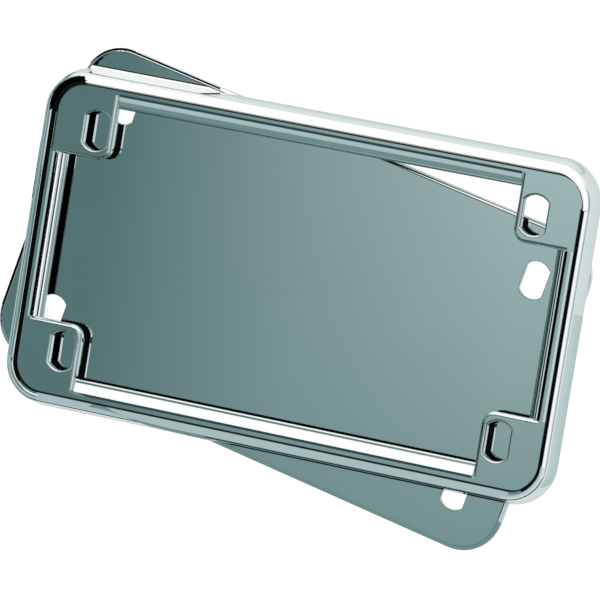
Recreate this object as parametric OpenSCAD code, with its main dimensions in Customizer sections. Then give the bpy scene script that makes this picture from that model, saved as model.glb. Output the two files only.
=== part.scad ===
// Number plate holder for a motorcycle: a cast frame with a raised rim and four
// slotted corner tabs, and the flat backing plate that goes behind it.
// The two loose pieces lie flat, the frame on top of the turned plate.
// X runs along the frame's long side, Y along its short side and Z out of its
// front. The plate's back face is on Z = 0, and X = Y = 0 is the frame's centre.

/* [Number plate that the frame holds] */
// Distance between its holes, and so between the frame's slots, along the long side
slot_spacing_x = 146.05; // [144:0.05:148]
// Distance between its holes along the short side
slot_spacing_y = 69.85; // [68:0.05:72]
// From the middle of a hole to the number plate's nearest edges
number_plate_margin = 15.875; // [15:0.125:18]
// Play of the number plate in the recess at its short edges
recess_play_ends = 0.7; // [0.2:0.1:1]
// Play of the number plate in the recess at its long edges
recess_play_sides = 0.4; // [0.2:0.1:1]

/* [Backing plate] */
// Distance between the plate's slots along its long side
plate_slot_spacing_x = 144.3; // [142:0.1:148]
// Distance between the plate's slots along its short side
plate_slot_spacing_y = 69.7; // [68:0.1:72]
// From the middle of a slot to the plate's nearest edges
plate_margin = 17.1; // [15:0.1:18]
// Thickness of the sheet
plate_thickness = 1.6; // [1.5:0.1:3]
// Radius of the plate's corners
plate_corner_radius = 13.5; // [8:0.5:18]
// Radius that rounds the plate's front edge
plate_edge_radius = 1.3; // [0.4:0.1:1.4]
// Length of the plate's slots
plate_slot_length = 11.8; // [10:0.1:16]
// Width of the plate's slots
plate_slot_width = 7.8; // [6:0.1:8.6]

/* [How the plate lies] */
// Angle by which the plate is turned clockwise behind the frame
plate_turn = 11.5; // [6:0.1:14]
// Plate's centre from the frame's centre, to the left
plate_shift_left = 2.9; // [0:0.1:6]
// Plate's centre from the frame's centre, downwards
plate_shift_down = 4.7; // [0:0.1:6]

/* [Frame shell] */
// Thickness of the recess wall at the frame's back edge
wall_thickness = 2.4; // [1.8:0.1:3]
// Thickness of the flange that carries the ledge and the tabs
flange_thickness = 2.4; // [1.8:0.1:4]
// Depth of the recess behind the flange
recess_depth = 2.8; // [2:0.1:6]
// Radius of the frame's outside corners at the back edge
frame_corner_radius = 13.9; // [11.1:0.2:20]

/* [Raised rim] */
// Width of the half-round bead
bead_width = 3.4; // [2.6:0.1:3.8]
// How far the wall flares out between the bead and the back edge
wall_flare = 1.2; // [0.3:0.1:1.5]

/* [Ledge and bars] */
// Width of the flat ledge inside the bead on the short sides
ledge_width_short = 2.3; // [1.5:0.1:4]
// Width of the flat ledge inside the bead on the long sides
ledge_width_long = 1.9; // [1.5:0.1:4]
// Run of the sloped face on the short sides
slope_run_short = 2.5; // [1.5:0.1:4]
// Run of the sloped face on the long sides
slope_run_long = 3.3; // [1.5:0.1:4]
// Drop of the sloped faces
slope_drop = 1.3; // [0.8:0.1:1.6]
// Width of the lip at the foot of each slope
lip_width = 1; // [0.8:0.1:1.5]
// Radius that rounds the lip's free edge
lip_edge_radius = 0.6; // [0.2:0.1:0.7]
// Width of the bevel between ledge and slope, on each of the two faces
ledge_bevel = 0.4; // [0.2:0.05:0.6]

/* [Corner tabs] */
// Tab material between a slot and the tab's upright side
tab_side_margin = 2; // [1.9:0.05:2.8]
// Tab material between a slot and the tab's level side
tab_end_margin = 2.7; // [1.9:0.05:3.2]
// Radius of the tab's free corner
tab_corner_radius = 4; // [2:0.2:5]
// Radius that rounds the tab's front edges
tab_edge_radius = 1.2; // [0.4:0.1:1.3]

/* [Frame slots] */
// Width of the frame's slots
frame_slot_width = 7.8; // [6:0.1:8.4]
// Length of the frame's slots
frame_slot_length = 12.3; // [10:0.1:13]
// Radius of the flat arcs that end every slot
slot_end_radius = 5; // [4.6:0.1:6]
// Radius that rounds the mouth of the frame's slots
slot_mouth_radius = 0.7; // [0.3:0.1:1.1]

/* [Hidden] */
$fn = 96;
// Cutters reach this far past the faces that they open
past = 1;

rim_width = bead_width + wall_flare;
frame_depth = flange_thickness + recess_depth;
recess_half_x = slot_spacing_x / 2 + number_plate_margin + recess_play_ends;
recess_half_y = slot_spacing_y / 2 + number_plate_margin + recess_play_sides;
groove_half_x = recess_half_x + wall_thickness - rim_width;
groove_half_y = recess_half_y + wall_thickness - rim_width;
groove_radius = frame_corner_radius - rim_width;
recess_radius = frame_corner_radius - wall_thickness;
ledge_half_x = groove_half_x - ledge_width_short;
ledge_half_y = groove_half_y - ledge_width_long;
opening_half_x = ledge_half_x - slope_run_short - lip_width;
opening_half_y = ledge_half_y - slope_run_long - lip_width;
tab_x = (slot_spacing_x - frame_slot_width) / 2 - tab_side_margin;
tab_y = (slot_spacing_y - frame_slot_length) / 2 - tab_end_margin;

// Puts a copy in each of the four quarters
module in_each_quarter() {
    for (flip_x = [0, 1], flip_y = [0, 1])
        mirror([flip_x, 0, 0])
            mirror([0, flip_y, 0])
                children();
}

module rounded_rectangle(half_x, half_y, radius) {
    square([2 * half_x, 2 * (half_y - radius)], center = true);
    square([2 * (half_x - radius), 2 * half_y], center = true);
    for (x = [-1, 1], y = [-1, 1])
        translate([x * (half_x - radius), y * (half_y - radius)])
            circle(radius);
}

// Sweeps a section round a rounded rectangle: the section's X points outwards
// from the outline and its Y points up
module swept_outline(half_x, half_y, radius) {
    straight_x = 2 * (half_x - radius);
    straight_y = 2 * (half_y - radius);
    for (side = [0, 180]) {
        rotate(side)
            translate([half_x, 0, 0])
                rotate([90, 0, 0])
                    linear_extrude(straight_y, center = true)
                        children();
        rotate(side + 90)
            translate([half_y, 0, 0])
                rotate([90, 0, 0])
                    linear_extrude(straight_x, center = true)
                        children();
    }
    for (x = [-1, 1], y = [-1, 1])
        translate([x * (half_x - radius), y * (half_y - radius), 0])
            rotate(x > 0 ? (y > 0 ? 0 : -90) : (y > 0 ? 90 : 180))
                rotate_extrude(angle = 90)
                    translate([radius, 0])
                        children();
}

// Outline of a slot with straight sides and flat-arc ends
module slot_outline(w, l) {
    intersection() {
        square([w, l], center = true);
        for (y = [-1, 1])
            translate([0, y * (l / 2 - slot_end_radius)])
                circle(slot_end_radius);
    }
}

// Section that a rounded edge takes away: the side is at X = 0 and the top at Y = 0
module edge_cut(radius) {
    difference() {
        translate([0, -radius])
            square([radius, radius + past]);
        translate([radius, -radius])
            circle(radius);
    }
}

// Section through one side of a frame slot, from its middle to its wall and
// rounded mouth, with the top face at Y = 0
module slot_side_section(half_width) {
    translate([0, -flange_thickness - past])
        square([half_width, flange_thickness + 2 * past]);
    translate([half_width, 0])
        edge_cut(slot_mouth_radius);
}

// What a frame slot with its rounded mouth takes out of the flange
module frame_slot() {
    intersection() {
        rotate([90, 0, 0])
            linear_extrude(frame_slot_length + 4 * slot_mouth_radius, center = true) {
                slot_side_section(frame_slot_width / 2);
                mirror([1, 0])
                    slot_side_section(frame_slot_width / 2);
            }
        for (y = [-1, 1])
            translate([0, y * (frame_slot_length / 2 - slot_end_radius), 0])
                rotate_extrude()
                    slot_side_section(slot_end_radius);
    }
}

// Section of the raised rim and the wall below it, from the groove outwards
module rim_section() {
    bead_radius = bead_width / 2;
    translate([bead_radius, 0])
        circle(bead_radius);
    polygon([
        [0, 0],
        [bead_width, 0],
        [rim_width, -frame_depth],
        [rim_width - wall_thickness, -frame_depth],
        [rim_width - wall_thickness, -flange_thickness],
        [0, -flange_thickness]
    ]);
}

// Section that a bar's sloped face takes away, inwards from the ledge's edge to
// the rounded lip
module slope_cut(run) {
    slope = atan(slope_drop / run);
    polygon([
        [-ledge_bevel, 0],
        [ledge_bevel * cos(slope), -ledge_bevel * sin(slope)],
        [run, -slope_drop],
        [run + lip_width + past, -slope_drop],
        [run + lip_width + past, past],
        [-ledge_bevel, past]
    ]);
    translate([run + lip_width, -slope_drop])
        mirror([1, 0])
            edge_cut(lip_edge_radius);
}

// The four tabs seen from the front, reaching well under the rim
module tab_outline() {
    reach_x = recess_half_x - tab_x;
    reach_y = recess_half_y - tab_y;
    in_each_quarter()
        translate([tab_x, tab_y]) {
            translate([tab_corner_radius, 0])
                square([reach_x - tab_corner_radius, reach_y]);
            translate([0, tab_corner_radius])
                square([reach_x, reach_y - tab_corner_radius]);
            translate([tab_corner_radius, tab_corner_radius])
                circle(tab_corner_radius);
        }
}

// The flat flange behind the bead, with its window and the tabs in its corners
module flange() {
    translate([0, 0, -flange_thickness])
        linear_extrude(flange_thickness)
            difference() {
                rounded_rectangle(recess_half_x, recess_half_y, recess_radius);
                difference() {
                    square([2 * opening_half_x, 2 * opening_half_y], center = true);
                    tab_outline();
                }
            }
}

// Sloped inner faces of the four bars, between the tabs
module bar_slopes() {
    for (side = [0, 180]) {
        rotate(side)
            translate([ledge_half_x, 0, 0])
                rotate([90, 0, 0])
                    linear_extrude(2 * tab_y, center = true)
                        mirror([1, 0])
                            slope_cut(slope_run_short);
        rotate(side + 90)
            translate([ledge_half_y, 0, 0])
                rotate([90, 0, 0])
                    linear_extrude(2 * tab_x, center = true)
                        mirror([1, 0])
                            slope_cut(slope_run_long);
    }
}

// Rounded front edges of the four tabs
module tab_edges() {
    in_each_quarter()
        translate([tab_x, tab_y, 0]) {
            translate([0, tab_corner_radius, 0])
                mirror([0, 1, 0])
                    rotate([90, 0, 0])
                        linear_extrude(ledge_half_y - tab_y - tab_corner_radius)
                            edge_cut(tab_edge_radius);
            translate([tab_corner_radius, 0, 0])
                rotate([90, 0, 90])
                    linear_extrude(ledge_half_x - tab_x - tab_corner_radius)
                        edge_cut(tab_edge_radius);
            translate([tab_corner_radius, tab_corner_radius, 0])
                rotate(180)
                    rotate_extrude(angle = 90)
                        translate([tab_corner_radius, 0])
                            mirror([1, 0])
                                edge_cut(tab_edge_radius);
        }
}

module front_frame() {
    color("gainsboro")
        translate([0, 0, plate_thickness + frame_depth])
            difference() {
                union() {
                    swept_outline(groove_half_x, groove_half_y, groove_radius)
                        rim_section();
                    flange();
                }
                bar_slopes();
                tab_edges();
                for (x = [-1, 1], y = [-1, 1])
                    translate([x * slot_spacing_x / 2, y * slot_spacing_y / 2, 0])
                        frame_slot();
            }
}

// Section of the plate's edge, from the start of its rounding outwards
module plate_edge_section() {
    square([plate_edge_radius, plate_thickness - plate_edge_radius]);
    intersection() {
        translate([0, plate_thickness - plate_edge_radius])
            circle(plate_edge_radius);
        square([plate_edge_radius, plate_thickness]);
    }
}

module backing_plate() {
    inner_half_x = plate_slot_spacing_x / 2 + plate_margin - plate_edge_radius;
    inner_half_y = plate_slot_spacing_y / 2 + plate_margin - plate_edge_radius;
    inner_radius = plate_corner_radius - plate_edge_radius;
    color("silver")
        translate([-plate_shift_left, -plate_shift_down, 0])
            rotate(-plate_turn)
                difference() {
                    union() {
                        linear_extrude(plate_thickness)
                            rounded_rectangle(inner_half_x, inner_half_y, inner_radius);
                        swept_outline(inner_half_x, inner_half_y, inner_radius)
                            plate_edge_section();
                    }
                    for (x = [-1, 1], y = [-1, 1])
                        translate([x * plate_slot_spacing_x / 2, y * plate_slot_spacing_y / 2, -past])
                            linear_extrude(plate_thickness + 2 * past)
                                slot_outline(plate_slot_width, plate_slot_length);
                }
}

front_frame();
backing_plate();
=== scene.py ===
# %% [markdown]
# A chromed number plate holder for a motorcycle: a cast frame with a raised,
# rounded rim lies on the flat backing plate that belongs behind it. Polished
# chrome has hardly any colour of its own. It is a mirror, so this scene is
# mostly a lesson in what is placed round the part for it to mirror.

# %% Load the finished parts
import math
import bpy
from mathutils import Matrix, Vector

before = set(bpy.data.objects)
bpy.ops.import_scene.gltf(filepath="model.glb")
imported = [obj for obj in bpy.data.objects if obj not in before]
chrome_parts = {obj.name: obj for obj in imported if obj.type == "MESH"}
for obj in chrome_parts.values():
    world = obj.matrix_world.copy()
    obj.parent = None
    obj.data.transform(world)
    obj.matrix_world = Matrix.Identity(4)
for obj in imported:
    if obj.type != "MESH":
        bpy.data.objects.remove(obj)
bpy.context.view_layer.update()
MM = 0.001
print("parts:", sorted(chrome_parts))

# %% [markdown]
# The camera comes first, because every card is placed by what the level faces
# mirror from where it stands. It is a long lens from almost two metres away,
# so that opposite bars stay nearly parallel. A short lens close by would
# spread the bars, and each of them would mirror another part of the room.

# %% Set up the camera
CAMERA_PLACE = Vector((0.61248, 0.18036, 1.65110))
CAMERA_TURN = (-2.549, 21.029, 9.789)
LENS = 344.2
SENSOR_WIDTH = 36

bpy.ops.object.select_all(action="DESELECT")
bpy.ops.object.camera_add(location=CAMERA_PLACE, rotation=[math.radians(a) for a in CAMERA_TURN])
camera = bpy.context.object
camera.name = "camera"
camera.data.lens = LENS
camera.data.sensor_width = SENSOR_WIDTH
camera.data.clip_start = 0.1
camera.data.clip_end = 50
bpy.context.scene.camera = camera
bpy.context.scene.view_settings.view_transform = "Standard"
print("camera stands", round(CAMERA_PLACE.length, 3), "m from the frame's centre")

# %% [markdown]
# A mirror sends a look on at the angle at which it arrives. On a level face
# that only turns the sideways part of the direction round. All the level
# faces are nearly at one height, so together they mirror one small patch.


# %% Work out what a level face mirrors
def mirrored_ray(place):
    """The direction in which a level face at this place looks on from the camera."""
    to_camera = (CAMERA_PLACE - Vector(place)).normalized()
    return Vector((-to_camera.x, -to_camera.y, to_camera.z))


print("a level face looks along", [round(v, 3) for v in mirrored_ray((0, 0, 0))])

# %% [markdown]
# A finish is a small tree of nodes. These helpers keep the trees short: each
# adds one kind of node and joins it to what comes before.

# %% Helpers for node trees
COLOUR_A, COLOUR_B, COLOUR_OUT = 6, 7, 2


def new_finish(name):
    material = bpy.data.materials.new(name)
    material.use_nodes = True
    material.node_tree.nodes.clear()
    return material, material.node_tree


def add_node(tree, kind, **settings):
    node = tree.nodes.new(kind)
    for name, value in settings.items():
        setattr(node, name, value)
    return node


def join(tree, source, target):
    tree.links.new(source, target)


def put_in(tree, value, target):
    """Join another node's output to this input, or write a plain value into it."""
    if isinstance(value, bpy.types.NodeSocket):
        join(tree, value, target)
    else:
        target.default_value = value


def calculate(tree, operation, first, second=0):
    node = add_node(tree, "ShaderNodeMath", operation=operation)
    put_in(tree, first, node.inputs[0])
    put_in(tree, second, node.inputs[1])
    return node.outputs[0]


def calculate_vector(tree, operation, first, second=(0, 0, 0)):
    node = add_node(tree, "ShaderNodeVectorMath", operation=operation)
    put_in(tree, first, node.inputs[0])
    put_in(tree, second, node.inputs[1])
    return node.outputs["Value" if operation == "LENGTH" else "Vector"]


def split(tree, vector):
    node = add_node(tree, "ShaderNodeSeparateXYZ")
    join(tree, vector, node.inputs[0])
    return node.outputs


def stretch(tree, value, old, new=(0, 1), **settings):
    """The value moved from its old range to a new one."""
    node = add_node(tree, "ShaderNodeMapRange", **settings)
    names = ("From Min", "From Max", "To Min", "To Max")
    for name, limit in zip(names, (*old, *new)):
        node.inputs[name].default_value = limit
    join(tree, value, node.inputs["Value"])
    return node.outputs["Result"]


def add_ramp(tree, value, stops):
    """Colours at their places along a value from 0 to 1."""
    node = add_node(tree, "ShaderNodeValToRGB")
    elements = node.color_ramp.elements
    while len(elements) < len(stops):
        elements.new(0.5)
    for element, (place, colour) in zip(elements, stops):
        element.position = place
        element.color = (*colour, 1)
    join(tree, value, node.inputs["Fac"])
    return node.outputs["Color"]


def mix_colours(tree, factor, first, second):
    node = add_node(tree, "ShaderNodeMix", data_type="RGBA")
    join(tree, factor, node.inputs["Factor"])
    put_in(tree, first, node.inputs[COLOUR_A])
    put_in(tree, second, node.inputs[COLOUR_B])
    return node.outputs[COLOUR_OUT]


def mix_shaders(tree, factor, first, second):
    node = add_node(tree, "ShaderNodeMixShader")
    for source, target in zip((factor, first, second), node.inputs):
        join(tree, source, target)
    return node.outputs[0]


print("node helpers are ready")

# %% [markdown]
# The greys of the room are ten named tones, written as the levels that the
# picture shows, from 0 to 255. A card must glow a little more than its tone,
# because chrome keeps a tenth of the light. Chrome also looks faintly green
# in its middle greys, so the red part of a tone is a little lower.

# %% Name the greys
CHROME = (0.86, 0.89, 0.89)
CHROME_DEEP = (0.84, 0.875, 0.875)
GREEN_CAST = 30

BLACK = 2
INK = 20
DARK = 70
DUSK = 115
GREY = 140
SOFT = 165
LIGHT = 190
PALE = 208
BRIGHT = 228
WHITE = 255


def as_light(level):
    """The strength of light that the picture shows as this level."""
    part = level / WHITE
    return part / 12.92 if part <= 0.04045 else ((part + 0.055) / 1.055) ** 2.4


def tone(level):
    """What a card must glow like, to show in the chrome as this level."""
    red = level - GREEN_CAST * math.sin(math.pi * level / WHITE)
    return tuple(as_light(v) / c for v, c in zip((red, level, level), CHROME))


print("white in the chrome takes", [round(v, 2) for v in tone(WHITE)])

# %% [markdown]
# A fine dark line of painted shade follows the groove between the ledge and
# the raised rim, where shade gathers in the crease. The line is painted in the
# finish and is no step in the casting. It is drawn by how far a point lies from
# a rounded rectangle: fold the face into one quarter, then measure to the
# corner's middle.

# %% Measure the groove
GROOVE_HALF = Vector((87.4, 49.0)) * MM
GROOVE_RADIUS = 9.3 * MM
# The line of painted shade in the groove lies on this rounded rectangle.
GROOVE_SHADE_HALF = Vector((87.82, 48.8)) * MM
GROOVE_SHADE_SHIFT = (-0.33 * MM, 0.15 * MM, 0)


def groove_distance(tree, place):
    """How far a point is outside (or, below zero, inside) the painted shade line."""
    corner = (GROOVE_SHADE_HALF.x - GROOVE_RADIUS, GROOVE_SHADE_HALF.y - GROOVE_RADIUS, 0)
    shifted = calculate_vector(tree, "ADD", place, GROOVE_SHADE_SHIFT)
    folded = calculate_vector(tree, "ABSOLUTE", shifted)
    past_corner = calculate_vector(tree, "SUBTRACT", folded, corner)
    level = calculate_vector(tree, "MULTIPLY", past_corner, (1, 1, 0))
    outside = calculate_vector(tree, "LENGTH", calculate_vector(tree, "MAXIMUM", level))
    sides = split(tree, level)
    inside = calculate(tree, "MINIMUM", calculate(tree, "MAXIMUM", sides["X"], sides["Y"]))
    return calculate(tree, "SUBTRACT", calculate(tree, "ADD", outside, inside), GROOVE_RADIUS)


print("the dark line runs", round(GROOVE_SHADE_HALF.x / MM, 2), "mm from the middle")

# %% [markdown]
# The chrome is bright, hard and slightly uneven: a slow noise moves its tint
# by a very small amount. No edge of a plated part is truly sharp, so the
# shading rounds every edge a little. Nobody polishes a back, so both backs are
# rough. The casting's back is painted nearly black as painted shade for the
# dark recess under the frame, which the plate mirrors; the sheet's back is a
# plain dull grey. One function makes both finishes, so that they differ only
# in what is asked of them.

# %% Make the chrome
# The casting's near-black back colour is painted shade for the dark recess under the frame.
CASTING_PAINTED_SHADE = (0.02, 0.022, 0.022, 1)
SHEET_BACK = (0.42, 0.44, 0.44, 1)
CASTING_EDGE = 0.2 * MM
SHEET_EDGE = 0.3 * MM
# Width of the line of painted shade in the groove.
GROOVE_SHADE_WIDTH = 0.62 * MM
CLOUD_SCALE = 38
CLOUD_DETAIL = 4
POLISHED, ROUGH = 0.004, 0.4
BACK_STARTS, BACK_ENDS = -0.3, -0.8


def chrome_finish(name, edge_radius, back, shade_width=0):
    """Bright chrome with a rough back and, where a width is given, a line of painted shade in the
    groove, in the back's colour.
    """
    material, tree = new_finish(name)
    place = add_node(tree, "ShaderNodeTexCoord").outputs
    cloud = add_node(tree, "ShaderNodeTexNoise")
    cloud.inputs["Scale"].default_value = CLOUD_SCALE
    cloud.inputs["Detail"].default_value = CLOUD_DETAIL
    join(tree, place["Object"], cloud.inputs["Vector"])
    tint = add_ramp(tree, cloud.outputs["Fac"], [(0.3, CHROME_DEEP), (0.7, CHROME)])

    smooth = {"interpolation_type": "SMOOTHSTEP"}
    facing_up = split(tree, place["Normal"])["Z"]
    dull_and_painted_shade = stretch(tree, facing_up, (BACK_STARTS, BACK_ENDS), **smooth)
    if shade_width:
        # Painted shade: the groove line takes the back's dark colour and roughness.
        away = calculate(tree, "ABSOLUTE", groove_distance(tree, place["Object"]))
        painted_groove_shade = stretch(tree, away, (shade_width * 0.6, shade_width * 0.3), **smooth)
        dull_and_painted_shade = calculate(tree, "MAXIMUM", dull_and_painted_shade, painted_groove_shade)

    edge = add_node(tree, "ShaderNodeBevel", samples=8)
    edge.inputs["Radius"].default_value = edge_radius
    surface = add_node(tree, "ShaderNodeBsdfPrincipled")
    surface.inputs["Metallic"].default_value = 1
    join(tree, mix_colours(tree, dull_and_painted_shade, tint, back), surface.inputs["Base Color"])
    join(tree, stretch(tree, dull_and_painted_shade, (0, 1), (POLISHED, ROUGH)), surface.inputs["Roughness"])
    join(tree, edge.outputs["Normal"], surface.inputs["Normal"])
    out = add_node(tree, "ShaderNodeOutputMaterial")
    join(tree, surface.outputs["BSDF"], out.inputs["Surface"])
    return material


finishes = {
    "front_frame": chrome_finish("frame_chrome", CASTING_EDGE, CASTING_PAINTED_SHADE, GROOVE_SHADE_WIDTH),
    "backing_plate": chrome_finish("plate_chrome", SHEET_EDGE, SHEET_BACK),
}

# %% Give each part its finish
for part, finish in finishes.items():
    chrome_parts[part].data.materials.clear()
    chrome_parts[part].data.materials.append(finish)
    print(part, "wears", finish.name)

# %% [markdown]
# The floor is plain and pale. The camera sees it as white with the soft
# shadow kept, which takes a little glow for the camera's own looks. In the
# chrome it shows as a quiet grey that shades the outer walls from below. Its
# underside is clear, so that the part can be looked at from there too.

# %% Lay the floor
FLOOR_SIZE = 12
FLOOR_GAP = 0.3 * MM
FLOOR_PAINT = (0.55, 0.55, 0.55, 1)
FLOOR_GLOW = (0.78, 0.78, 0.78, 1)
FLOOR_IN_CHROME = (0.27, 0.31, 0.31, 1)

bpy.ops.object.select_all(action="DESELECT")
bpy.ops.mesh.primitive_plane_add(size=FLOOR_SIZE, location=(0, 0, -FLOOR_GAP))
floor = bpy.context.object
floor.name = "floor"
floor_paint, tree = new_finish("floor_paint")
pale = add_node(tree, "ShaderNodeBsdfDiffuse")
pale.inputs["Color"].default_value = FLOOR_PAINT
rays = add_node(tree, "ShaderNodeLightPath").outputs
lit = pale.outputs[0]
for colour, kind in ((FLOOR_GLOW, "Is Camera Ray"), (FLOOR_IN_CHROME, "Is Glossy Ray")):
    glow = add_node(tree, "ShaderNodeEmission")
    glow.inputs["Color"].default_value = colour
    join(tree, rays[kind], glow.inputs["Strength"])
    both = add_node(tree, "ShaderNodeAddShader")
    join(tree, lit, both.inputs[0])
    join(tree, glow.outputs[0], both.inputs[1])
    lit = both.outputs[0]
underside = add_node(tree, "ShaderNodeNewGeometry").outputs["Backfacing"]
clear = add_node(tree, "ShaderNodeBsdfTransparent").outputs[0]
out = add_node(tree, "ShaderNodeOutputMaterial")
join(tree, mix_shaders(tree, underside, lit, clear), out.inputs["Surface"])
floor.data.materials.append(floor_paint)
print("floor is", FLOOR_SIZE, "m wide")

# %% [markdown]
# The room is a plain soft tent, white to the camera and to every dull
# surface. Chrome in a white tent would vanish, so for mirrored looks alone
# the tent has wide bands of grey: dark low on the left, bright up on the
# right, and pale towards the top of the picture.

# %% Light the room
ACROSS = [(-0.85, DUSK), (-0.5, SOFT), (0, DUSK), (0.4, BRIGHT), (1, SOFT)]
ALONG = [(-0.9, DARK), (0.2, GREY), (0.8, WHITE)]
TURN_STARTS, TURN_ENDS = 0.35, 0.60

world = bpy.data.worlds.new("tent")
bpy.context.scene.world = world
world.use_nodes = True
tree = world.node_tree
tree.nodes.clear()
direction = split(tree, add_node(tree, "ShaderNodeTexCoord").outputs["Generated"])


def tent_bands(part, bands):
    """Bands of grey against one part of the direction, from -1 to 1."""
    spread = stretch(tree, part, (-1, 1))
    return add_ramp(tree, spread, [((at + 1) / 2, tone(level)) for at, level in bands])


across, along = tent_bands(direction["X"], ACROSS), tent_bands(direction["Y"], ALONG)
sideways = calculate(tree, "ABSOLUTE", direction["Y"])
turn = stretch(tree, sideways, (TURN_STARTS, TURN_ENDS))
mirrored = add_node(tree, "ShaderNodeBackground")
join(tree, mix_colours(tree, turn, across, along), mirrored.inputs["Color"])
plain_white = add_node(tree, "ShaderNodeBackground")
plain_white.inputs["Color"].default_value = (1, 1, 1, 1)
glossy = add_node(tree, "ShaderNodeLightPath").outputs["Is Glossy Ray"]
out = add_node(tree, "ShaderNodeOutputWorld")
seen = mix_shaders(tree, glossy, plain_white.outputs[0], mirrored.outputs[0])
join(tree, seen, out.inputs["Surface"])
print("the tent has", len(ACROSS), "bands across and", len(ALONG), "along")

# %% [markdown]
# A photographer of chrome hangs cards round it. Each card here is a flat
# sheet that only the chrome sees. It lies in the plane of `along` and `rise`,
# and its tones run from its start to its end along one of the two. A card
# that glows by itself keeps its tone wherever it hangs, so it is easier to
# tune than a painted one under lamps.

# %% Helper that hangs a card
RIGHTWARD, BACKWARD, UPWARD = Vector((1, 0, 0)), Vector((0, 1, 0)), Vector((0, 0, 1))
cards = []


def plain(level):
    """One tone all over."""
    return [(0, level), (1, level)]


def hang_card(name, middle, along, rise, size, levels, by="along", far_levels=None):
    """A sheet round `middle`. With `far_levels` its tones also change the other way."""
    u = Vector(along).normalized()
    v = Vector(rise)
    v = (v - v.dot(u) * u).normalized()
    bpy.ops.object.select_all(action="DESELECT")
    bpy.ops.mesh.primitive_plane_add(size=1)
    card = bpy.context.object
    card.name = name
    turned = Matrix((u, v, u.cross(v))).transposed().to_4x4()
    card.matrix_world = Matrix.Translation(middle) @ turned @ Matrix.Diagonal((*size, 1, 1))
    card.visible_camera = False
    card.visible_diffuse = False
    card.visible_shadow = False

    paint, tree = new_finish(name + "_paint")
    place = split(tree, add_node(tree, "ShaderNodeTexCoord").outputs["Object"])
    run, other = (place["X"], place["Y"]) if by == "along" else (place["Y"], place["X"])
    run = calculate(tree, "ADD", run, 0.5)
    colour = add_ramp(tree, run, [(at, tone(level)) for at, level in levels])
    if far_levels:
        far = add_ramp(tree, run, [(at, tone(level)) for at, level in far_levels])
        colour = mix_colours(tree, calculate(tree, "ADD", other, 0.5), colour, far)
    glow = add_node(tree, "ShaderNodeEmission")
    join(tree, colour, glow.inputs["Color"])
    out = add_node(tree, "ShaderNodeOutputMaterial")
    join(tree, glow.outputs[0], out.inputs["Surface"])
    card.data.materials.append(paint)
    cards.append(card)


print("a card has tones from", BLACK, "to", WHITE)

# %% [markdown]
# The ledge, the tabs and the backing plate are level, and they fill most of
# the picture. They share one large grey card, a metre away where they look.
# It is lit from its upper right, so it has one run of tones for its lower
# edge and a lighter run for its upper edge.

# %% Hang the large grey card
CARD_DISTANCE = 1.0
GREY_CARD_SIZE = (0.36, 0.26)
LOWER_RUN = [(0.2, DUSK), (0.5, GREY)]
UPPER_RUN = [(0.2, DUSK), (0.8, LIGHT)]

card_middle = mirrored_ray((0, 0, 0)) * CARD_DISTANCE
hang_card(
    "grey_card", card_middle, RIGHTWARD, BACKWARD, GREY_CARD_SIZE, LOWER_RUN, far_levels=UPPER_RUN
)
print("the grey card hangs at", [round(v, 3) for v in card_middle])

# %% [markdown]
# Where a level face begins to turn down, it looks past the grey card. Black
# cards round it draw the dark lines there, which make chrome look hard. One
# light card hangs among them for the left bar's bevel, and one white card
# lights the sloped lower bar.

# %% Hang the cards round the grey one
CARD_TOP = card_middle.z
LEVEL_CARDS = (
    ("dark_right", (-0.0225, -0.1, CARD_TOP), (0.265, 0.5), BLACK),
    ("dark_above", (-0.37, 0.17, CARD_TOP), (0.6, 0.26), DARK),
    ("dark_below", (-0.37, -0.42, CARD_TOP), (0.6, 0.30), DARK),
    ("dark_far_right", (0.27, -0.1095, CARD_TOP), (0.34, 0.083), BLACK),
    ("left_bevel", (-0.071, -0.085, 0.85), (0.098, 0.2), LIGHT),
)
for name, middle, size, level in LEVEL_CARDS:
    hang_card(name, Vector(middle), RIGHTWARD, BACKWARD, size, plain(level))

LEFT_CARDS = (
    ("dark_left", Vector((-0.74, -0.1, 0.67)), (0.22, 0.40)),
    ("dark_low_left", Vector((-0.96, -0.1, 0.26)), (0.22, 0.46)),
)
for name, middle, size in LEFT_CARDS:
    hang_card(name, middle, BACKWARD, (middle.z, 0, -middle.x), size, plain(BLACK))

SLOPE_RAY = Vector((-0.34, 0.54, 0.77))
slope_rise = (0, SLOPE_RAY.z, -SLOPE_RAY.y)
hang_card("slope_white", SLOPE_RAY, RIGHTWARD, slope_rise, (0.5, 0.26), plain(WHITE))
print(len(cards), "cards hang")

# %% [markdown]
# The other faces of the frame come in two kinds. A narrow flat face, such as
# a bar's slope or the strip of ledge outside it, mirrors one direction only.
# It gets a far card of its own, just as large as what the face mirrors, so
# that no other face sees it. Its edges' own looks give the card's place and
# size. Stripes of light and dark on it are what makes a thin bar glitter.

# %% Helpers for the narrow flat faces
FAR = 0.97
SOFT_EDGE = 0.1


def stripes(levels):
    """Equal stripes of these tones with short soft edges between them."""
    wide = 1 / len(levels)
    stops = []
    for count, level in enumerate(levels):
        stops.append(((count + SOFT_EDGE) * wide, level))
        stops.append(((count + 1 - SOFT_EDGE) * wide, level))
    return stops


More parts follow.
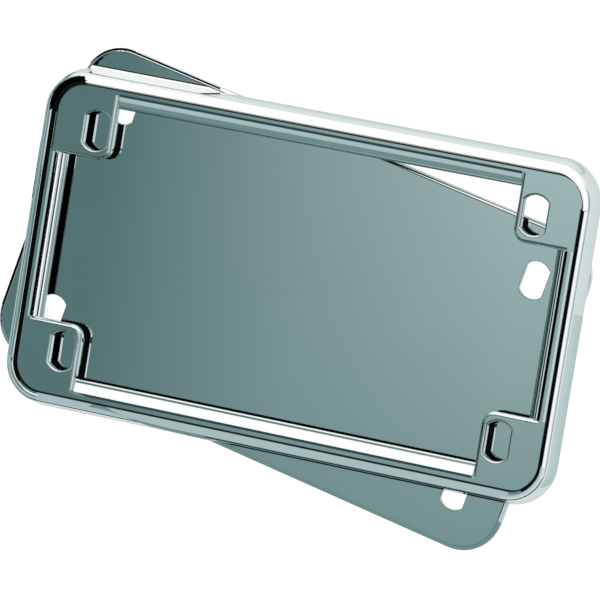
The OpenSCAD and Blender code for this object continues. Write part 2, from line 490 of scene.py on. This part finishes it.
def card_for_face(name, inner, outer, span, lean, levels):
    """A far card for the face between two edges, in mm, that leans by `lean` to the window."""
    inner, outer, span = (Vector(v) * MM for v in (inner, outer, span))
    middle = (inner + outer) / 2
    normal = (Vector(lean) + UPWARD).normalized()

    def ray_from(place):
        to_camera = (CAMERA_PLACE - place).normalized()
        return 2 * normal.dot(to_camera) * normal - to_camera

    straight = ray_from(middle)

    def seen_from(place):
        ray = ray_from(place)
        return place + ray * (FAR + (middle - place).dot(straight)) / ray.dot(straight)

    along = seen_from(middle + span) - seen_from(middle - span)
    across = seen_from(outer) - seen_from(inner)
    across -= across.dot(along) / along.length_squared * along
    size = (along.length, across.length)
    hang_card(name, seen_from(middle), along, across, size, stripes(levels), by="rise")


print("narrow faces look at cards", FAR, "m away")

# %% [markdown]
# The left and right bars slope down to the window by about a half, and the
# long bars by a little less. Each bar has up to three faces: the strip of
# ledge, the slope and the lip at the window's edge. The stripes go from the
# window outwards. The left bar catches most of the light.

# %% Hang the cards of the left and right bars
FLAT = (0, 0, 0)
END_SPAN = (0, 26.2, 0)
END_SLOPE = 0.52
LEDGE_TOP = 6.8
LIP_TOP = 5.5
SLOPE_LOW, SLOPE_HIGH = 5.4, 6.55

left_slope = (-82.66, 0, SLOPE_LOW), (-84.84, 0, SLOPE_HIGH), END_SPAN, (END_SLOPE, 0, 0)
left_stripes = [WHITE, DARK, PALE, WHITE, BLACK]
card_for_face("left_slope", *left_slope, left_stripes)
left_ledge = (-85.45, 0, LEDGE_TOP), (-87.05, 0, LEDGE_TOP), END_SPAN, FLAT
card_for_face("left_ledge", *left_ledge, [LIGHT, DUSK])
left_lip = (-82.27, 0, LIP_TOP), (-82.6, 0, LIP_TOP), END_SPAN, FLAT
card_for_face("left_lip", *left_lip, [LIGHT])

right_slope = (82.72, 0, SLOPE_LOW), (84.88, 0, SLOPE_HIGH), END_SPAN, (-END_SLOPE, 0, 0)
right_stripes = [BLACK, SOFT, BLACK, PALE, BLACK]
card_for_face("right_slope", *right_slope, right_stripes)
right_ledge = (85.52, 0, LEDGE_TOP), (87.5, 0, LEDGE_TOP), END_SPAN, FLAT
card_for_face("right_ledge", *right_ledge, [SOFT, PALE])
right_lip = (82.05, 0, LIP_TOP), (82.8, 0, LIP_TOP), END_SPAN, FLAT
card_for_face("right_lip", *right_lip, [BLACK])
print(len(cards), "cards hang")

# %% Hang the cards of the top and bottom bars
SIDE_SPAN = (70, 0, 0)
SIDE_SLOPE = 0.394

top_slope = (0, 43.8, LIP_TOP), (0, 46.9, 6.65), SIDE_SPAN, (0, -SIDE_SLOPE, 0)
card_for_face("top_slope", *top_slope, [GREY, LIGHT])
bottom_lip = (0, -43.4, LIP_TOP), (0, -43.75, LIP_TOP), SIDE_SPAN, FLAT
card_for_face("bottom_lip", *bottom_lip, [DUSK])
print(len(cards), "cards hang")

# %% [markdown]
# The raised rim is the other kind of face. It curves through half a turn and
# shows whatever is near it. Close over it lies a lid, and beside it, over the
# edge of the ledge, stands a low sheet. Far cards can't do this, because a
# round rim squeezes half the room into two millimetres. The sheet leans just
# as the level faces' looks do, so they see only its edge.

# %% Helpers that line the rim
PLATE_TOP = 1.6
LID_HEIGHT = 9.5


def stand_sheet(name, foot, along, length, low, high, levels):
    """A sheet over `foot` between two heights, in mm, with one tone or tones by height."""
    if isinstance(levels, int):
        levels = [(low, levels), (high, levels)]
    start = Vector(foot) * MM
    ray = mirrored_ray(start)
    side = Vector(along).normalized()
    up = ray - ray.dot(side) * side
    middle = start + up * ((low + high) / 2 - foot[2]) * MM / up.z
    size = (length * MM, (high - low) * MM * up.length / up.z)
    stops = [((at - low) / (high - low), level) for at, level in levels]
    hang_card(name, middle, side, up, size, stops, by="rise")


def lay_lid(name, along, ends, sides, levels):
    """A level sheet over the rim, in mm, with its tones from its inner to its outer side."""
    across = BACKWARD if along is RIGHTWARD else RIGHTWARD
    outward = math.copysign(1, sides[1] - sides[0]) * across
    middle = sum(ends) / 2 * along + sum(sides) / 2 * across + LID_HEIGHT * UPWARD
    size = ((ends[1] - ends[0]) * MM, abs(sides[1] - sides[0]) * MM)
    hang_card(name, middle * MM, along, outward, size, levels, by="rise")


print("the lids lie", round(LID_HEIGHT - LEDGE_TOP, 1), "mm over the ledge")

# %% [markdown]
# Black beside the rim and light outside it: that is what draws a bright round
# rim with one crisp dark line. On the left the sheet outside the rim has a
# band of dusk between two light ones. On the right the lid is wide, because
# the camera sees the rim's far shoulder there.

# %% Line the left and right sides of the rim
lay_lid(
    "left_lid", BACKWARD, (-40, 38), (-88.15, -90.3), [(0, GREY), (0.6, GREY), (0.75, LIGHT), (1, LIGHT)]
)
stand_sheet("left_inner", (-86, 0, LEDGE_TOP), BACKWARD, 79.4, 7, 9.4, BLACK)
left_bands = [(5, LIGHT), (9, LIGHT), (11, DUSK), (14, DUSK), (20, LIGHT), (38, LIGHT)]
stand_sheet("left_outer", (-91.5, 0, PLATE_TOP), BACKWARD, 90, 5, 38, left_bands)

right_bands = [(0, BLACK), (0.17, BLACK), (0.3, WHITE), (1, PALE)]
lay_lid("right_lid", BACKWARD, (-44, 39), (87.6, 93.4), right_bands)
stand_sheet("right_inner", (86, -2, LEDGE_TOP), BACKWARD, 84, 7.5, 14, BLACK)
print(len(cards), "cards hang")

# %% [markdown]
# The top of the rim is all white, and the bottom a light grey with a paler
# shoulder. The top lid also shows in the backing plate, just outside the
# frame's wall. A thin dark strip along its outer side becomes the shadow line
# between the wall and the plate.

# %% Line the top and bottom sides of the rim
SIDE_ENDS = (-79, 79)
SIDE_LENGTH = 158

lay_lid("top_lid", RIGHTWARD, SIDE_ENDS, (48.75, 53.8), plain(WHITE))
lay_lid("top_lid_end", RIGHTWARD, (-84, -79), (52.6, 53.8), plain(WHITE))
lay_lid("top_lid_edge", RIGHTWARD, (-84, -37), (53.8, 54.2), plain(INK))
stand_sheet("top_inner", (0, 47.9, LEDGE_TOP), RIGHTWARD, SIDE_LENGTH, 7, 10.5, WHITE)

bottom_bands = [(0, LIGHT), (0.8, LIGHT), (0.85, PALE), (1, PALE)]
lay_lid("bottom_lid", RIGHTWARD, SIDE_ENDS, (-49.45, -53.9), bottom_bands)
stand_sheet("bottom_inner", (0, -48, LEDGE_TOP), RIGHTWARD, SIDE_LENGTH, 7, 12, LIGHT)
stand_sheet("bottom_outer", (22, -55, PLATE_TOP), RIGHTWARD, 114, 6.2, 8.8, INK)
print(len(cards), "cards hang")

# %% [markdown]
# Round a corner the same lining is made of small sheets and lids, one every
# nine degrees. A bent sheet would do too, but flat ones keep each tone where
# it is put. The corners aren't alike: the upper left one is black right over
# its top, the upper right one is white, and in the two lower ones the black
# fades out on its way to the bottom bar.

# %% Helpers that line a corner
CORNER_MIDDLE = Vector((GROOVE_HALF.x - GROOVE_RADIUS, GROOVE_HALF.y - GROOVE_RADIUS, 0)) / MM
SHEET_RADIUS = GROOVE_RADIUS / MM - 1.4
SHEET_FOOT = 7
SHEET_WIDTH = 1.5
LID_SHIFT = Vector((-0.38, -0.1, 0))
LID_OVERLAP = 1.08
STEP = 9
TAPER_TURN = 30


def outward_at(turn):
    """The direction away from a corner's middle at this turn, in degrees from rightward."""
    return Vector((math.cos(math.radians(turn)), math.sin(math.radians(turn)), 0))


def beside(outward):
    return Vector((-outward.y, outward.x, 0))


def line_corner(name, signs, turns, height, sheet_level, lid, lid_levels, taper=0):
    """Small sheets and lids round one corner; `lid` is a lid's inner and outer radius."""
    middle = Vector((signs[0] * CORNER_MIDDLE.x, signs[1] * CORNER_MIDDLE.y, 0))
    for turn in turns:
        outward = outward_at(turn)
        foot = middle + SHEET_RADIUS * outward + LEDGE_TOP * UPWARD
        sheet = foot, beside(outward), SHEET_WIDTH, SHEET_FOOT, height, sheet_level
        stand_sheet(f"{name}_sheet_{turn}", *sheet)
        inner, outer = lid
        outer -= taper * max(0, 1 - (turns.stop - turn) / TAPER_TURN)
        centre = middle + LID_SHIFT + (inner + outer) / 2 * outward + LID_HEIGHT * UPWARD
        size = (LID_OVERLAP * outer * math.radians(STEP) * MM, (outer - inner) * MM)
        lid_place = centre * MM, beside(outward), outward, size
        hang_card(f"{name}_lid_{turn}", *lid_place, lid_levels, by="rise")


print("corners turn round", [round(v, 1) for v in CORNER_MIDDLE.xy], "mm")

# %% Line the corners of the rim
lower_left, lower_right = [(0, SOFT), (1, PALE)], [(0, LIGHT), (1, BRIGHT)]
top_left_turns = range(99, 181, STEP)

line_corner("top_left", (-1, 1), top_left_turns, 10.8, BLACK, (9.3, 12.2), plain(BLACK), taper=1.6)
line_corner("top_right", (1, 1), range(4, 90, STEP), 11, WHITE, (9.4, 13.5), plain(WHITE))
line_corner("bottom_left", (-1, -1), range(184, 229, STEP), 9.2, BLACK, (10.4, 13), lower_left)
line_corner("left_foot", (-1, -1), range(229, 270, STEP), 9.2, DUSK, (10.4, 13), lower_left)
line_corner("right_foot", (1, -1), range(-86, -59, STEP), 12, GREY, (10.2, 14.6), lower_right)
line_corner("bottom_right", (1, -1), range(-59, 0, STEP), 12, BLACK, (10.2, 14.6), lower_right)
print(len(cards), "cards hang")

# %% [markdown]
# In the upper left corner the black reaches over the edge of the ledge. The
# ledge is level there, so small far cards darken it, the same way as for the
# bars' flat faces.

# %% Darken the ledge's edge in the upper left corner
EDGE_RADII = (8.5, 9.4)
edge_middle = Vector((-CORNER_MIDDLE.x, CORNER_MIDDLE.y, LEDGE_TOP))
for turn in top_left_turns:
    inner, outer = (edge_middle + radius * outward_at(turn) for radius in EDGE_RADII)
    span = 0.8 * beside(outward_at(turn))
    card_for_face(f"top_left_edge_{turn}", inner, outer, span, FLAT, [BLACK])
left_edge = (-86.65, 33.3, LEDGE_TOP), (-87.5, 33.3, LEDGE_TOP), (0, 6.4, 0), FLAT
card_for_face("left_edge", *left_edge, [BLACK])
print(len(cards), "cards hang")

# %% [markdown]
# The outer walls lean out towards their feet, so they mirror the floor beside
# the part. Pale mats along the top and right walls make them lighter there
# and leave the floor as it is.

# %% Lay pale mats along two walls
MAT_HEIGHT = 0.3
top_mat = Vector((22, 56, MAT_HEIGHT)) * MM, RIGHTWARD, BACKWARD, (132 * MM, 4.6 * MM)
hang_card("top_mat", *top_mat, [(0, LIGHT), (1, WHITE)], by="rise")
right_mat = Vector((94.6, -28.5, MAT_HEIGHT)) * MM, BACKWARD, RIGHTWARD, (71 * MM, 5 * MM)
hang_card("right_mat", *right_mat, [(0, LIGHT), (1, PALE)], by="rise")
print(len(cards), "cards hang")

# %% [markdown]
# The backing plate's edge is rounded over and shows what stands just outside
# it. Black sheets there give the upper left of the plate its dark outline,
# and grey ones along its lower right keep that edge as calm as its face.

# %% Stand sheets outside the backing plate's edges
PLATE_MIDDLE = Vector((-2.9, -4.7, PLATE_TOP))
PLATE_TURN = -11.5
PLATE_HALF = Vector((89.25, 51.95))
SHEET_GAP = 0.7
plate_along, plate_across = outward_at(PLATE_TURN), beside(outward_at(PLATE_TURN))


def plate_point(x, y):
    """A place on the backing plate's face, from its middle along its own sides, in mm."""
    return PLATE_MIDDLE + x * plate_along + y * plate_across


outside = PLATE_HALF + Vector((SHEET_GAP, SHEET_GAP))
stand_sheet("above_plate", plate_point(-62, outside.y), plate_along, 34, 0.8, 3, BLACK)
stand_sheet("left_of_plate", plate_point(-outside.x, 0), plate_across, 78, 0.2, 8, BLACK)
stand_sheet("below_plate", plate_point(10, -outside.y), plate_along, 132, 0.2, 14, GREY)
print(len(cards), "cards hang")

# %% [markdown]
# The plate's corners get the same sheets, one every ten degrees. At the upper
# left the black also widens on the plate's face towards the frame, which far
# cards do again. The last sheet there is low, or the frame's wall would
# mirror it.

# %% Stand sheets round the backing plate's corners
PLATE_RADIUS = 13.5
PLATE_STEP = 10
LAST_TURN = 155


def plate_corner(signs, turn):
    """A plate corner's middle and the direction away from it at this turn."""
    inset = PLATE_HALF - Vector((PLATE_RADIUS, PLATE_RADIUS))
    return plate_point(signs[0] * inset.x, signs[1] * inset.y), outward_at(turn + PLATE_TURN)


def stand_at_corner(signs, turn, height, level):
    centre, outward = plate_corner(signs, turn)
    foot = centre + (PLATE_RADIUS + SHEET_GAP) * outward
    stand_sheet(f"plate_corner_{turn}", foot, beside(outward), 2.6, 0.2, height, level)


for turn in range(95, LAST_TURN + 1, PLATE_STEP):
    stand_at_corner((-1, 1), turn, 1.7 if turn == LAST_TURN else 3.2, BLACK)
for turn in range(-85, 0, PLATE_STEP):
    stand_at_corner((1, -1), turn, 14, GREY)
for turn in range(125, LAST_TURN + 1, PLATE_STEP):
    centre, outward = plate_corner((-1, 1), turn)
    dark_width = 0.5 + 0.04 * (turn - 105)
    inner, outer = (centre + (PLATE_RADIUS + past) * outward for past in (-dark_width, 0.3))
    span = 1.2 * beside(outward)
    card_for_face(f"plate_corner_edge_{turn}", inner, outer, span, FLAT, [BLACK])
print(len(cards), "cards hang")

# %% [markdown]
# A slot cut in sheet metal shows a fine dark outline, where its edge rolls
# over. The plate's two right slots are in plain sight, so low black sheets
# stand round them, over the opening's own outline of two flat arcs.

# %% Line the backing plate's slots with black
SLOT_PLACE = (72.15, 34.85)
ARC_MIDDLE = 0.9
ARC_RADIUS = 4.6
SLOT_LOW, SLOT_HIGH = 1.75, 3

upper_arc = [ARC_MIDDLE * BACKWARD + ARC_RADIUS * outward_at(turn) for turn in (40, 65, 90, 115, 140)]
outline = upper_arc + [-place for place in upper_arc]
for slot, side in (("top", 1), ("bottom", -1)):
    corners = [plate_point(SLOT_PLACE[0] + p.x, side * SLOT_PLACE[1] + p.y) for p in outline]
    for count, (start, end) in enumerate(zip(corners, corners[1:] + corners[:1])):
        run = end - start
        sheet = (start + end) / 2, run, run.length + 0.1, SLOT_LOW, SLOT_HIGH, BLACK
        stand_sheet(f"{slot}_slot_{count}", *sheet)
print(len(cards), "cards hang")
